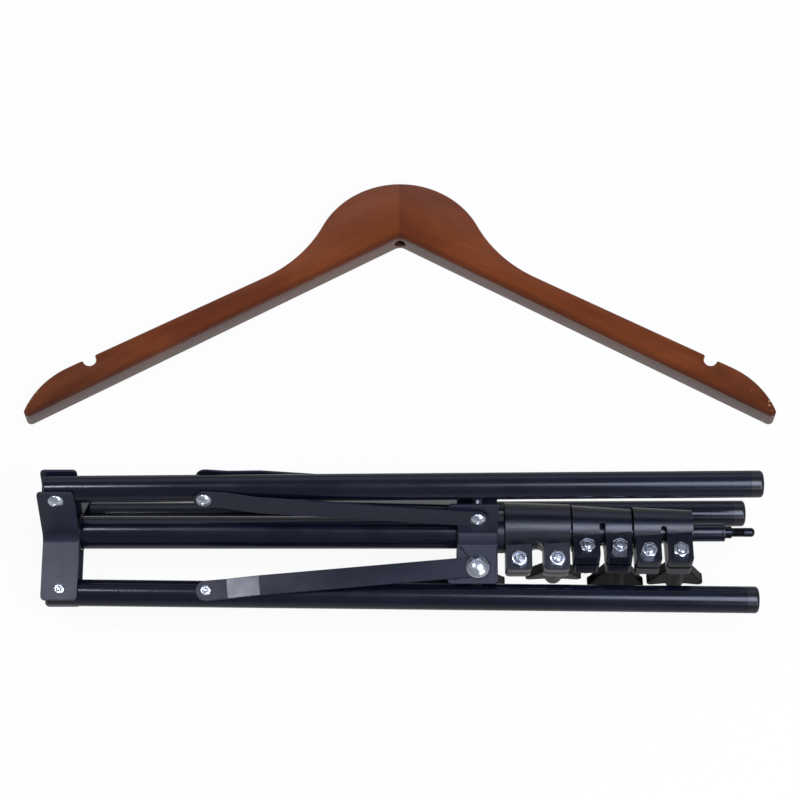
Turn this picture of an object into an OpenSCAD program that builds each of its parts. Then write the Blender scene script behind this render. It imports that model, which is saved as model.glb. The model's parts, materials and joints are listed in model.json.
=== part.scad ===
/* [Hanger] */
// Width of the hanger from tip to tip
hanger_w = 445; // [380:5:480]
// Thickness of the wood
hanger_t = 13; // [10:0.5:18]
// Radius of the round crown
crown_r = 53; // [46:1:60]
// Height of the crown above the point of the V
crown_h = 38; // [34:1:46]
// Slope of the shoulder edge, in degrees
shoulder_slope = 27.8; // [24:0.1:28.4]
// Slope of the lower edge, in degrees
lower_slope = 28.9; // [28.6:0.1:32]
// Height of an arm at the middle of the hanger
arm_h = 15.8; // [13:0.2:20]
// Radius of the hollow between crown and shoulder
neck_r = 80; // [40:5:100]
// Radius that softens the point of the V
apex_r = 6; // [2:0.5:10]
// Radius of the rounded end of an arm
tip_r = 50; // [35:1:60]
// Distance from the end of an arm to its strap notch
notch_inset = 37; // [30:1:60]
// Radius of the round bottom of the strap notch
notch_r = 2.8; // [2:0.2:4]
// Width of the mouth of the strap notch
notch_mouth = 4; // [2:0.5:5]
// Depth of the strap notch below the shoulder edge
notch_depth = 6.5; // [4:0.5:9]
// Outer radius of the metal socket in the crown
socket_r = 3.4; // [3.3:0.1:5.5]
// Length of the metal socket
socket_len = 24; // [18:1:30]

/* [Legs] */
// Outer diameter of a leg tube
leg_d = 15; // [12:0.5:16]
// Wall of a leg tube
leg_wall = 1; // [0.8:0.1:1.6]
// Length of a leg from its hinge pin to the tip of its foot
leg_len = 389.3; // [340:1:420]
// Distance of the hinge pin from the column's axis
hinge_r = 34.5; // [33.5:0.5:38]
// Distance of a folded foot from the column's axis
foot_r = 38.7; // [37.5:0.1:42]
// Length of tube behind the hinge pin
leg_tail = 6.3; // [5:0.1:9]
// Length of the plastic foot that shows past the tube
foot_len = 7; // [4:0.5:12]
// Turn of the first leg about the column, from straight up, in degrees
first_leg_roll = 22; // [20:1:24]

/* [Column] */
// Outer diameter of the lowest section
section_d1 = 18.5; // [17.5:0.1:19]
// Outer diameter of the second section
section_d2 = 15.8; // [15.4:0.1:16]
// Outer diameter of the third section
section_d3 = 13.1; // [12.7:0.1:13.4]
// Outer diameter of the top section
section_d4 = 10.4; // [9.5:0.1:10.8]
// Wall of each section
section_wall = 0.9; // [0.7:0.05:1]
// Length of the lowest section
section_len1 = 268; // [255:1:268]
// Gap along the folded column between one section's guide and the next
foot_gap = 3; // [1:0.5:6]
// Distance from the hinge pins to the top of the folded column tubes
column_reach = 370.6; // [368:0.1:376]

/* [Hub and collar] */
// Thickness of the bent plates
plate_t = 1.6; // [1.2:0.1:1.8]
// Width of a hub plate along the column
hub_w = 20.4; // [16:0.2:24]
// Distance of a hub ear's end from the column's axis
hub_ear_r = 40.8; // [39:0.1:40.9]
// Wall of the cap on the column's foot that the hub plates sit on
cap_wall = 0.85; // [0.8:0.05:1.2]
// Distance of the collar's pins from the column's axis
collar_pin_r = 22; // [21.5:0.5:24]
// Distance of a collar ear's end from the column's axis
collar_ear_r = 31.5; // [29:0.5:33]
// Width of the collar's middle band along the column
collar_w = 22.6; // [18:0.2:23]
// Width of a collar ear at its end
collar_ear_w = 28.2; // [24:0.2:30]
// Distance along the column from the hinge pins to the collar's pins
collar_x = 232.5; // [228:0.5:233]
// Outer radius of the plastic sleeve inside the collar
sleeve_r = 11.8; // [11:0.1:12.2]
// Length of the plastic sleeve
sleeve_len = 26.4; // [24:0.2:29.6]
// Radius of a corner of a bent plate
plate_corner = 2.5; // [1:0.5:4]

/* [Struts] */
// Thickness of a strut
strut_t = 1.5; // [1:0.1:2]
// Width of a strut
strut_w = 11.4; // [9:0.2:12]
// Distance along the leg from its hinge pin to the strut's pin
strut_pin_x = 81.4; // [70:1:90]
// Distance from the strut's lower pin to the start of its bend
bend_start = 12; // [9:1:20]
// Length of the bend along the strut
bend_len = 18; // [10:1:26]

/* [Rivets and bolts] */
// Radius of a rivet's shaft
rivet_r = 2.5; // [2:0.1:2.8]
// Radius of a rivet's round head
rivet_head_r = 4.5; // [3.8:0.1:5]
// Height of a rivet's round head
rivet_head_h = 2.2; // [1.2:0.1:2.4]
// Radius of a rivet's rolled tail
rivet_tail_r = 3.1; // [2.9:0.1:3.8]
// Height of a rivet's rolled tail
rivet_tail_h = 1.1; // [0.6:0.1:1.6]
// Radius of the collar's clamp bolt
clamp_bolt_r = 3; // [2.5:0.1:3.2]
// Radius of the clamp bolt's round head
clamp_head_r = 6.9; // [5:0.1:7.5]
// Height of the clamp bolt's round head
clamp_head_h = 3.4; // [2:0.1:4]
// Radius of the lock bolts
bolt_r = 2.5; // [2:0.1:2.6]
// Width of a lock nut across its flats
nut_af = 8; // [7:0.1:8.6]
// Height of a lock nut
nut_h = 4; // [3:0.2:4.6]
// Height of a lock bolt's head
bolt_head_h = 3.3; // [2.4:0.1:4]

/* [Locks] */
// Half the thickness of a lock's lugs
lug_half = 8; // [7:0.1:8.5]
// Width of the split that a lock's bolts close
split_w = 2; // [1:0.1:3]
// Shift of a lock's round body away from its lugs
body_shift = 2.6; // [2:0.1:3]
// Length of the first lock
lock_len1 = 36.6; // [34:0.1:37]
// Length of the second and third locks
lock_len = 33.2; // [31:0.1:33.6]
// Distance from one lock to the next
lock_gap = 1.2; // [0.8:0.1:2.2]
// Distance of the first lock's bolts from the column's axis
bolt_seat1 = 17.6; // [16.4:0.1:18]
// Distance of the second and third locks' bolts from the column's axis
bolt_seat = 16.2; // [15.2:0.1:16.6]

/* [Wing knobs] */
// Length of a lock's wing knob
knob_len = 22.5; // [18:0.5:23.5]
// Half the span of a wing knob
knob_span = 16; // [12:0.5:16.5]
// Thickness of a wing
wing_t = 6; // [4:0.5:7]
// Radius of a wing knob's middle
knob_hub_r = 5.2; // [4.6:0.1:6]
// Radius of the collar knob's middle
collar_knob_hub_r = 6.5; // [6:0.1:7.5]

/* [Top stud] */
// Radius of the stud's shank
stud_r = 2.65; // [2.3:0.05:3]
// Length of the stud's shank above its shoulder
stud_len = 13; // [9:0.5:14]
// Radius of the stud's shoulder
shoulder_r = 3.4; // [3.1:0.1:3.8]
// Height of the stud's shoulder
shoulder_h = 4; // [2:0.5:5]

/* [Fits] */
// Radial clearance of a running fit
run_fit = 0.05; // [0.02:0.01:0.1]
// Gap between faces that pass each other
side_gap = 0.3; // [0.3:0.05:0.5]

/* [Hidden] */
$fn = 64;
leg_count = 3;
leg_step = 360 / leg_count;
leg_r = leg_d / 2;
leg_splay = asin((foot_r - hinge_r) / leg_len);
function leg_roll(i) = first_leg_roll - i * leg_step;

// Ears stand beside the legs, and struts pass outside the ears
ear_in = leg_r + side_gap;
ear_out = ear_in + plate_t;
strut_in = ear_out + side_gap;
strut_out = strut_in + strut_t;
head_seat = strut_out + side_gap;

// The third leg's foot rests on the floor and sets the height of the column
rest_roll = leg_roll(2);
foot_reach = -foot_r * cos(rest_roll) + leg_r;
axis_h = foot_reach;

// Places along the column, from the middle of the hanger
hinge_x = 5.35 - leg_len / 2;
collar_pin_x = hinge_x + collar_x;
sleeve_start = collar_pin_x + collar_w / 2 - sleeve_len + 4;
lock_x1 = sleeve_start + sleeve_len + side_gap;
lock_x2 = lock_x1 + lock_len1 + lock_gap;
lock_x3 = lock_x2 + lock_len + lock_gap;
column_top = hinge_x + column_reach;

section_r = [section_d1 / 2, section_d2 / 2, section_d3 / 2, section_d4 / 2];
lock_x = [lock_x1, lock_x2, lock_x3];
lock_l = [lock_len1, lock_len, lock_len];
lock_seat = [bolt_seat1, bolt_seat, bolt_seat];
lock_roll = [-97, -77, -85];
guide_len = 8;
guide_flange = 3;
section_top = [lock_x1 + lock_len1 / 2, lock_x2 + lock_len / 2, lock_x3 + lock_len / 2, column_top];
// Folded, each section's foot stands a guide and a gap above the foot of the one round it
cap_plug_len = 10;
section_foot1 = section_top[0] - section_len1;
section_foot2 = section_foot1 + cap_plug_len + foot_gap + guide_flange;
guide_pitch = guide_len + foot_gap + guide_flange;
section_foot = [section_foot1, section_foot2, section_foot2 + guide_pitch, section_foot2 + 2 * guide_pitch];

// Depth of the whole layout, from the front leg's side to the top of the hanger
front_reach = -foot_r * sin(leg_roll(1)) + leg_r;
crown_from_column = 242.5;
column_y = (front_reach - crown_from_column) / 2;
apex_y = column_y + crown_from_column - crown_h;

// Frames: the column lies along X, and a leg's frame has the leg straight above the column
module on_stand() {
  translate([0, column_y, axis_h]) children();
}
module on_roll(roll) {
  on_stand() rotate([-roll, 0, 0]) children();
}
module on_leg(i) {
  on_roll(leg_roll(i)) translate([hinge_x, 0, hinge_r]) rotate([0, -leg_splay, 0]) children();
}
module on_strut(i) {
  drop = hinge_r + strut_pin_x * sin(leg_splay) - collar_pin_r;
  run = hinge_x + strut_pin_x * cos(leg_splay) - collar_pin_x;
  on_roll(leg_roll(i)) translate([collar_pin_x, 0, collar_pin_r])
    rotate([0, -atan2(drop, run), 0]) children();
}
function strut_len() =
  norm([hinge_x + strut_pin_x * cos(leg_splay) - collar_pin_x,
        hinge_r + strut_pin_x * sin(leg_splay) - collar_pin_r]);

// A round bar or tube along X, and one along Y
module bar_x(x0, x1, r) {
  translate([x0, 0, 0]) rotate([0, 90, 0]) cylinder(h = x1 - x0, r = r);
}
module bar_y(y0, y1, r) {
  translate([0, y0, 0]) rotate([-90, 0, 0]) cylinder(h = y1 - y0, r = r);
}
module tube_x(x0, x1, r, wall) {
  difference() {
    bar_x(x0, x1, r);
    bar_x(x0 - 1, x1 + 1, r - wall);
  }
}

// Points along an arc
function arc(at, r, from, to, steps) =
  [for (k = [0:steps]) at + r * [cos(from + (to - from) * k / steps), sin(from + (to - from) * k / steps)]];

// A flat profile in X and Z, given a thickness from y0 to y1
module sheet_xz(y0, y1) {
  translate([0, y1, 0]) rotate([90, 0, 0]) linear_extrude(y1 - y0) children();
}

// A round dome that stands on z = 0
module dome(r, h) {
  ball_r = (r * r + h * h) / (2 * h);
  rotate_extrude() intersection() {
    translate([0, h - ball_r]) circle(ball_r);
    square([r, h]);
  }
}

// The outline of an ear, with two round corners at its end
module ear_outline(x0, x1, z0, z1, corner) {
  translate([x0, z0]) square([x1 - x0, z1 - corner - z0]);
  translate([x0 + corner, z0]) square([x1 - x0 - 2 * corner, z1 - z0]);
  for (x = [x0 + corner, x1 - corner]) translate([x, z1 - corner]) circle(corner);
}

// Rivet along Y: shaft, round head with its dimple on the -Y side, rolled tail on the +Y side
module rivet_head(seat) {
  translate([0, -seat, 0]) rotate([90, 0, 0]) difference() {
    dome(rivet_head_r, rivet_head_h);
    translate([0, 0, rivet_head_h - 0.5]) cylinder(h = 1, r = rivet_r * 0.6);
  }
}
module rivet_tail(seat) {
  translate([0, seat, 0]) rotate([-90, 0, 0]) difference() {
    cylinder(h = rivet_tail_h, r1 = rivet_tail_r, r2 = rivet_tail_r * 0.9);
    translate([0, 0, rivet_tail_h - 0.5]) cylinder(h = 1, r = rivet_r * 0.6);
  }
}
module rivet(seat) {
  bar_y(-seat, seat, rivet_r);
  rivet_head(seat);
  rivet_tail(seat);
}

// Hub: three bent plates on the cap at the column's foot, and a rivet through each leg
hub_core_r = section_r[0] + cap_wall + 2 * run_fit;
half_step = leg_step / 2;
// The bend is as round as it takes for its inner side to sit on the cap
hub_bend_r = (hub_core_r + plate_t - ear_out / sin(half_step)) / (1 / sin(half_step) - 1);
hub_bend_z = (ear_out + hub_bend_r) / sin(half_step);
// A point of the section from its distance along an ear and its distance from the leg's plane
function ear_point(along, off, side) = [side * (along * sin(half_step) - off * cos(half_step)),
                                        along * cos(half_step) + off * sin(half_step)];
module hub_section() {
  turn = 90 - half_step;
  polygon(concat(
    [ear_point(hub_ear_r, ear_in, 1), ear_point(hub_ear_r, ear_out, 1)],
    arc([0, hub_bend_z], hub_bend_r, turn - 90, -turn - 90, 12),
    [ear_point(hub_ear_r, ear_out, -1), ear_point(hub_ear_r, ear_in, -1)],
    arc([0, hub_bend_z], hub_bend_r + plate_t, -turn - 90, turn - 90, 12)
  ));
}
module hub_ear_cuts() {
  rotate([-half_step, 0, 0]) sheet_xz(-ear_out - 1, -ear_in + 1) {
    translate([hinge_x, hinge_r]) circle(rivet_r + run_fit);
    for (side = [-1, 1]) translate([hinge_x + side * hub_w / 2, hub_ear_r]) difference() {
      square(2 * plate_corner, center = true);
      translate([-side * plate_corner, -plate_corner]) circle(plate_corner);
    }
  }
}
module hub_plate(i) {
  color("#1d1f25") on_roll(leg_roll(i) - half_step) difference() {
    translate([hinge_x - hub_w / 2, 0, 0]) rotate([90, 0, 90]) linear_extrude(hub_w) hub_section();
    hub_ear_cuts();
    mirror([0, 1, 0]) hub_ear_cuts();
  }
}
module hub_rivets() {
  color("#b9bcc2") for (i = [0:leg_count - 1])
    on_roll(leg_roll(i)) translate([hinge_x, 0, hinge_r]) rivet(ear_out);
}

// Collar: a plastic sleeve that slides on the column, with three bent plates round it
module collar_sleeve() {
  color("#15161a") on_stand() tube_x(sleeve_start, sleeve_start + sleeve_len, sleeve_r,
                                     sleeve_r - section_r[0] - run_fit);
}
module collar_ear(hole_r) {
  x1 = collar_pin_x + collar_w / 2;
  root_z = sqrt(pow(sleeve_r, 2) - pow(ear_out, 2)) - 1;
  sheet_xz(-ear_out, -ear_in) difference() {
    union() {
      translate([x1 - collar_w, root_z]) square([collar_w, collar_pin_r + 1 - root_z]);
      ear_outline(x1 - collar_ear_w, x1, collar_pin_r, collar_ear_r, plate_corner);
    }
    translate([collar_pin_x, collar_pin_r]) circle(hole_r + run_fit);
  }
}
module collar_plate(i) {
  band_r = sleeve_r + plate_t;
  band_half = leg_step / 2 - asin((ear_in + plate_t / 5) / sleeve_r);
  this_pin = (i == 1) ? clamp_bolt_r : rivet_r;
  next_pin = (i == 0) ? clamp_bolt_r : rivet_r;
  color("#1b1d22") on_roll(leg_roll(i) - leg_step / 2) difference() {
    union() {
      rotate([-leg_step / 2, 0, 0]) collar_ear(this_pin);
      mirror([0, 1, 0]) rotate([-leg_step / 2, 0, 0]) collar_ear(next_pin);
      translate([collar_pin_x, 0, 0]) rotate([90, 0, 90]) linear_extrude(collar_w - 1, center = true)
        intersection() {
          circle(band_r);
          polygon([[0, 0], [2 * band_r * sin(band_half), 2 * band_r * cos(band_half)],
                   [-2 * band_r * sin(band_half), 2 * band_r * cos(band_half)]]);
        }
    }
    bar_x(collar_pin_x - collar_ear_w, collar_pin_x + collar_ear_w, sleeve_r);
  }
}
module collar_rivets() {
  color("#b9bcc2") for (i = [0, 2])
    on_roll(leg_roll(i)) translate([collar_pin_x, 0, collar_pin_r]) rivet(head_seat);
}
// The collar's knob is as long as it takes for its end to rest on the floor
knob_edge = 1.2;
collar_knob_rim = collar_pin_r + collar_knob_hub_r - knob_edge;
collar_knob_end = (axis_h + collar_knob_rim * cos(leg_roll(1))) / -sin(leg_roll(1));
collar_knob_base = head_seat;
module collar_clamp_bolt() {
  color("#c4c7cc") on_roll(leg_roll(1)) translate([collar_pin_x, 0, collar_pin_r]) {
    bar_y(-collar_knob_end + 4, head_seat, clamp_bolt_r);
    translate([0, head_seat, 0]) rotate([-90, 0, 0]) dome(clamp_head_r, clamp_head_h);
  }
}

// Wing knob standing on z = 0, wings along X, with a bore for its bolt or screw
module wing_outline(length, span, hub_r) {
  tip = 2.6;
  base = hub_r + 0.6;
  dip = hub_r - 1.5;
  polygon([[-base, 0], [base, 0], [span, length - tip - 2], [span - tip, length - 2], [dip, length - 4],
           [-dip, length - 4], [-span + tip, length - 2], [-span, length - tip - 2]]);
  for (side = [-1, 1]) translate([side * (span - tip), length - tip - 2]) circle(tip);
}
module wing_knob(length, span, hub_r, bore_r, bore_len) {
  difference() {
    union() {
      cylinder(h = length - knob_edge, r = hub_r);
      translate([0, 0, length - knob_edge]) cylinder(h = knob_edge, r1 = hub_r, r2 = hub_r - knob_edge);
      rotate([90, 0, 0]) linear_extrude(wing_t, center = true) wing_outline(length, span, hub_r);
    }
    translate([0, 0, -1]) cylinder(h = bore_len + 1, r = bore_r);
  }
}
module collar_knob() {
  length = collar_knob_end - collar_knob_base;
  color("#131418") on_roll(leg_roll(1)) translate([collar_pin_x, -collar_knob_base, collar_pin_r])
    rotate([90, 0, 0])
      wing_knob(length, knob_span + 1, collar_knob_hub_r, clamp_bolt_r + run_fit, length - 3.5);
}

// Legs: tube, plastic foot and the cross pin that the struts pivot on
module leg_tube(i) {
  end_x = leg_len - foot_len;
  color("#17191f") on_leg(i) difference() {
    tube_x(-leg_tail, end_x, leg_r, leg_wall);
    bar_y(-leg_d, leg_d, rivet_r + run_fit);
    translate([strut_pin_x, 0, 0]) bar_y(-leg_d, leg_d, rivet_r + run_fit);
  }
}
module leg_foot(i) {
  plug_len = 18;
  edge = 2;
  color("#0f1013") on_leg(i) translate([leg_len - foot_len, 0, 0]) rotate([0, 90, 0]) {
    translate([0, 0, -plug_len]) cylinder(h = plug_len, r = leg_r - leg_wall - run_fit);
    rotate_extrude() {
      square([leg_r, foot_len - edge]);
      square([leg_r - edge, foot_len]);
      translate([leg_r - edge, foot_len - edge]) circle(edge);
    }
  }
}
module leg_plug(i) {
  flange = 1.2;
  color("#0f1013") on_leg(i) {
    bar_x(-leg_tail, -rivet_r - 1, leg_r - leg_wall - run_fit);
    bar_x(-leg_tail - flange, -leg_tail, leg_r);
  }
}
module leg_strut_pin(i) {
  color("#9a9da3") on_leg(i) translate([strut_pin_x, 0, 0]) bar_y(-leg_r, leg_r, rivet_r);
}

// Struts: a pair of bent flats from the collar's pin to the leg, and the rivet ends on them
module strut_flat(hole_r) {
  length = strut_len();
  half = strut_w / 2;
  step = side_gap + plate_t;
  difference() {
    intersection() {
      linear_extrude(strut_w, center = true)
        polygon([[-half, strut_in], [-half, strut_out], [length - bend_start - bend_len, strut_out],
                 [length - bend_start, strut_out - step], [length + half, strut_out - step],
                 [length + half, strut_in - step], [length - bend_start, strut_in - step],
                 [length - bend_start - bend_len, strut_in]]);
      sheet_xz(0, strut_out) {
        translate([0, -half]) square([length, strut_w]);
        circle(half);
        translate([length, 0]) circle(half);
      }
    }
    bar_y(0, 2 * strut_out, hole_r + run_fit);
  }
}
module strut_plates(i) {
  hole_r = (i == 1) ? clamp_bolt_r : rivet_r;
  color("#20232a") on_strut(i) {
    strut_flat(hole_r);
    mirror([0, 1, 0]) strut_flat(hole_r);
  }
}
module strut_rivet(i) {
  seat = strut_out - side_gap - plate_t;
  color("#b9bcc2") on_strut(i) translate([strut_len(), 0, 0]) {
    rivet_head(seat);
    rivet_tail(seat);
  }
}

// Column: four tubes, each sliding in the one below
module section_tube(i) {
  color("#1a1c22") on_stand()
    tube_x(section_foot[i], section_top[i], section_r[i], section_wall);
}
module column_foot_cap() {
  x0 = section_foot[0];
  end_wall = 2;
  color("#0f1013") on_stand() {
    tube_x(x0 - end_wall, hinge_x + hub_w / 2, hub_core_r - run_fit, cap_wall);
    bar_x(x0 - end_wall, x0, hub_core_r - run_fit - cap_wall / 2);
    bar_x(x0 - end_wall / 2, x0 + cap_plug_len, section_r[0] - section_wall - run_fit);
  }
}
module section_guide(i) {
  x0 = section_foot[i];
  color("#d8d6cf") on_stand() {
    bar_x(x0, x0 + guide_len, section_r[i] - section_wall - run_fit);
    bar_x(x0 - guide_flange, x0, section_r[i - 1] - section_wall - run_fit);
  }
}

// Locks: a split body that grips two sections, with two pairs of lugs
lug_w = [14.6, 14.6, 14.2];
slot_w = [6.6, 3.4, 3.4];
body_r1 = [14.4, 13.1, 11.8];
body_r2 = [13.2, 10.9, 10.1];
slot_root = [11, 2.8, 2.8];
function lug_end(k) = lock_seat[k] + 6;
function lug_x(k, j) = lock_x[k] + (j == 0 ? lug_first(k) : lug_first(k) + lug_w[k] + slot_w[k]);
function lug_first(k) = (lock_l[k] - 2 * lug_w[k] - slot_w[k]) / 2;
function bolt_x(k, j) = lug_x(k, j) + lug_w[k] / 2;
module lock_body(k) {
  mid = bolt_x(k, 0) + lug_w[k] / 2 + slot_w[k] / 2;
  end_x = lock_x[k] + lock_l[k];
  color("#15171b") on_roll(lock_roll[k]) difference() {
    union() {
      translate([lock_x[k], 0, -body_shift]) rotate([0, 90, 0])
        cylinder(h = lock_l[k], r1 = body_r1[k], r2 = body_r2[k]);
      for (j = [0, 1]) sheet_xz(-lug_half, lug_half)
        ear_outline(lug_x(k, j), lug_x(k, j) + lug_w[k], 0, lug_end(k), 2.4);
    }
    bar_x(lock_x[k] - 1, mid, section_r[k] + run_fit);
    bar_x(mid - 1, end_x + 1, section_r[k + 1] + run_fit);
    translate([lock_x[k] - 1, -split_w / 2, 0]) cube([lock_l[k] + 2, split_w, 40]);
    for (j = [0, 1]) translate([bolt_x(k, j), 0, lock_seat[k]]) bar_y(-20, 20, bolt_r + run_fit);
    sheet_xz(-20, 20) {
      translate([mid - slot_w[k] / 2, slot_root[k]]) square([slot_w[k], 40]);
      translate([mid, slot_root[k]]) circle(slot_w[k] / 2);
    }
  }
}
module hex_nut() {
  difference() {
    rotate([-90, 30, 0]) cylinder(h = nut_h, r = nut_af / 2 / cos(30), $fn = 6);
    bar_y(-1, nut_h + 1, bolt_r + run_fit);
  }
}
module lock_nuts(k) {
  color("#c4c7cc") on_roll(lock_roll[k]) for (j = [0, 1])
    translate([bolt_x(k, j), lug_half, lock_seat[k]]) hex_nut();
}
module lock_bolt(k) {
  color("#b4b7bd") on_roll(lock_roll[k]) translate([bolt_x(k, 0), 0, lock_seat[k]]) {
    bar_y(-lug_half, lug_half + nut_h + 0.8, bolt_r);
    translate([0, -lug_half - bolt_head_h, 0]) rotate([-90, 0, 0])
      cylinder(h = bolt_head_h, r = nut_af / 2 / cos(30), $fn = 6);
  }
}
module lock_knob(k) {
  color("#131418") on_roll(lock_roll[k]) translate([bolt_x(k, 1), -lug_half - side_gap, lock_seat[k]])
    rotate([90, 0, 0]) wing_knob(knob_len, knob_span, knob_hub_r, bolt_r + run_fit, knob_len - 4);
}
module lock_knob_screw(k) {
  color("#b4b7bd") on_roll(lock_roll[k]) translate([bolt_x(k, 1), 0, lock_seat[k]])
    bar_y(-lug_half - side_gap - knob_len + 5, lug_half + nut_h + 0.8, bolt_r);
}

// Top of the column: a plug in the last section and the stud for the hanger
plug_flange = 1.5;
stud_root = 8;
module top_plug() {
  color("#15161a") on_stand() difference() {
    union() {
      bar_x(column_top - 12, column_top, section_r[3] - section_wall - run_fit);
      bar_x(column_top, column_top + plug_flange, section_r[3]);
    }
    bar_x(column_top + plug_flange - stud_root, column_top + plug_flange + 1, stud_r + run_fit);
  }
}
module top_stud() {
  base = column_top + plug_flange;
  nose = 1;
  color("#22242a") on_stand() {
    bar_x(base - stud_root + 0.5, base + shoulder_h + stud_len - nose, stud_r);
    bar_x(base, base + shoulder_h, shoulder_r);
    translate([base + shoulder_h + stud_len - nose, 0, 0]) rotate([0, 90, 0])
      cylinder(h = nose, r1 = stud_r, r2 = stud_r - nose);
  }
}

// Hanger: two arms glued at the middle, drawn flat with the point of the V at the origin
function shoulder_z(x) = arm_h - x * tan(shoulder_slope);
function lower_z(x) = -x * tan(lower_slope);
half_w = hanger_w / 2;
crown_z = crown_h - crown_r;
along = [cos(shoulder_slope), -sin(shoulder_slope)];
across = [sin(shoulder_slope), cos(shoulder_slope)];
crown_gap = [0, arm_h - crown_z] * across;
neck_along = sqrt(pow(crown_r + neck_r, 2) - pow(crown_gap + neck_r, 2));
neck_at = [0, crown_z] + (crown_gap + neck_r) * across + neck_along * along;
// The end arc meets the lower edge at the tip and is tangent to the shoulder edge
tip_drop = [0, arm_h] * across - [half_w, lower_z(half_w)] * across;
tip_back = sqrt(pow(tip_r, 2) - pow(tip_r - tip_drop, 2));
tip_at = [half_w, lower_z(half_w)] - tip_back * along - (tip_r - tip_drop) * across;
neck_turn = atan2(neck_at[1] - crown_z, neck_at[0]);
tip_turn = atan2(lower_z(half_w) - tip_at[1], half_w - tip_at[0]);
apex_rise = apex_r / cos(lower_slope) - apex_r;
socket_inset = 0.3;
arm_points = concat(
  arc([0, -apex_r / cos(lower_slope)], apex_r, 90, 90 - lower_slope, 6),
  arc(tip_at, tip_r, tip_turn, 90 - shoulder_slope, 18),
  arc(neck_at, neck_r, 270 - shoulder_slope, 180 + neck_turn, 18),
  arc([0, crown_z], crown_r, neck_turn, 90, 24)
);
module arm_outline() {
  difference() {
    polygon(arm_points);
    strap_notch();
  }
}
module strap_notch() {
  notch_x = half_w - notch_inset;
  translate([notch_x, shoulder_z(notch_x)]) rotate(-shoulder_slope) {
    translate([0, notch_r - notch_depth]) circle(notch_r);
    translate([-notch_mouth / 2, notch_r - notch_depth]) square([notch_mouth, notch_depth]);
  }
}
module hanger_arm(side) {
  color("#7a3d20") translate([0, apex_y, 0]) difference() {
    mirror([side < 0 ? 1 : 0, 0, 0]) linear_extrude(hanger_t) arm_outline();
    translate([0, 0, hanger_t / 2]) bar_y(-10, socket_len, socket_r + run_fit);
  }
}
module hanger_socket() {
  color("#3a3a3c") translate([0, apex_y, hanger_t / 2]) difference() {
    bar_y(socket_inset - apex_rise, socket_len, socket_r);
    bar_y(-2, stud_len + 2, stud_r + 2 * run_fit);
  }
}

section_tube(0);  // outer_tube
column_foot_cap();
hub_plate(0);  // hub_plate_1
hub_plate(1);  // hub_plate_2
hub_plate(2);  // hub_plate_3
hub_rivets();
lock_body(0);  // lock_1_body
lock_bolt(0);  // lock_1_bolt
lock_nuts(0);  // lock_1_nuts
lock_knob(0);  // lock_1_knob
lock_knob_screw(0);  // lock_1_knob_screw
collar_sleeve();
collar_plate(0);  // collar_plate_1
collar_plate(1);  // collar_plate_2
collar_plate(2);  // collar_plate_3
collar_rivets();
collar_clamp_bolt();
collar_knob();
leg_tube(0);  // leg_1_tube
leg_foot(0);  // leg_1_foot
leg_plug(0);  // leg_1_plug
leg_strut_pin(0);  // leg_1_strut_pin
leg_tube(1);  // leg_2_tube
leg_foot(1);  // leg_2_foot
leg_plug(1);  // leg_2_plug
leg_strut_pin(1);  // leg_2_strut_pin
leg_tube(2);  // leg_3_tube
leg_foot(2);  // leg_3_foot
leg_plug(2);  // leg_3_plug
leg_strut_pin(2);  // leg_3_strut_pin
strut_plates(0);  // strut_1_plates
strut_rivet(0);  // strut_1_rivet
strut_plates(1);  // strut_2_plates
strut_rivet(1);  // strut_2_rivet
strut_plates(2);  // strut_3_plates
strut_rivet(2);  // strut_3_rivet
section_tube(1);  // section_2_tube
section_guide(1);  // section_2_guide
lock_body(1);  // lock_2_body
lock_bolt(1);  // lock_2_bolt
lock_nuts(1);  // lock_2_nuts
lock_knob(1);  // lock_2_knob
lock_knob_screw(1);  // lock_2_knob_screw
section_tube(2);  // section_3_tube
section_guide(2);  // section_3_guide
lock_body(2);  // lock_3_body
lock_bolt(2);  // lock_3_bolt
lock_nuts(2);  // lock_3_nuts
lock_knob(2);  // lock_3_knob
lock_knob_screw(2);  // lock_3_knob_screw
section_tube(3);  // section_4_tube
section_guide(3);  // section_4_guide
top_plug();
top_stud();
hanger_arm(-1);  // hanger_left_arm
hanger_arm(1);  // hanger_right_arm
hanger_socket();
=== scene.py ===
# %% [markdown]
# A folded garment display stand lies on a white table beside its wooden hanger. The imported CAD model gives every
# part at its true size and place, in metres. This file gives each part the surface it has on the real object, and
# models the pieces whose small forms a plain solid can't show.

# %% Load the frame
import json
import math

import bmesh
import bpy
from mathutils import Matrix, Vector


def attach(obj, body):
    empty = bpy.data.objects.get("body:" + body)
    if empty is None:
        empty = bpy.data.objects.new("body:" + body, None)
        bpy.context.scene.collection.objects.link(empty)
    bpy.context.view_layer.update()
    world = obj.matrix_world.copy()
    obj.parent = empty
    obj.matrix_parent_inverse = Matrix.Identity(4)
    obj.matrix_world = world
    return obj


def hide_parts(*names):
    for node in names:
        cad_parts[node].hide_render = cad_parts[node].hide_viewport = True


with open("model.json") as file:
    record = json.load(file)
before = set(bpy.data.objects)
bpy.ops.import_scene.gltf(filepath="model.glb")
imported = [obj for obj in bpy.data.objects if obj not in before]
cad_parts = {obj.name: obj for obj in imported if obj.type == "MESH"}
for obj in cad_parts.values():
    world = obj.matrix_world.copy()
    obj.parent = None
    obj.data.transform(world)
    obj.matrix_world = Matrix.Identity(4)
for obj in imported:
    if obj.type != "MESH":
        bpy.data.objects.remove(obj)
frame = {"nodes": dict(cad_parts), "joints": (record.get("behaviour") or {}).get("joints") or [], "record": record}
nodes = frame["nodes"]
joints = {joint["name"]: joint for joint in frame["joints"]}
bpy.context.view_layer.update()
MM = 0.001

# %% [markdown]
# The camera stands where the photographer stood: straight in front, 65 degrees above the table. Its lens gives the
# photograph's scale of about 1.77 pixels per millimetre at the column.

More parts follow.
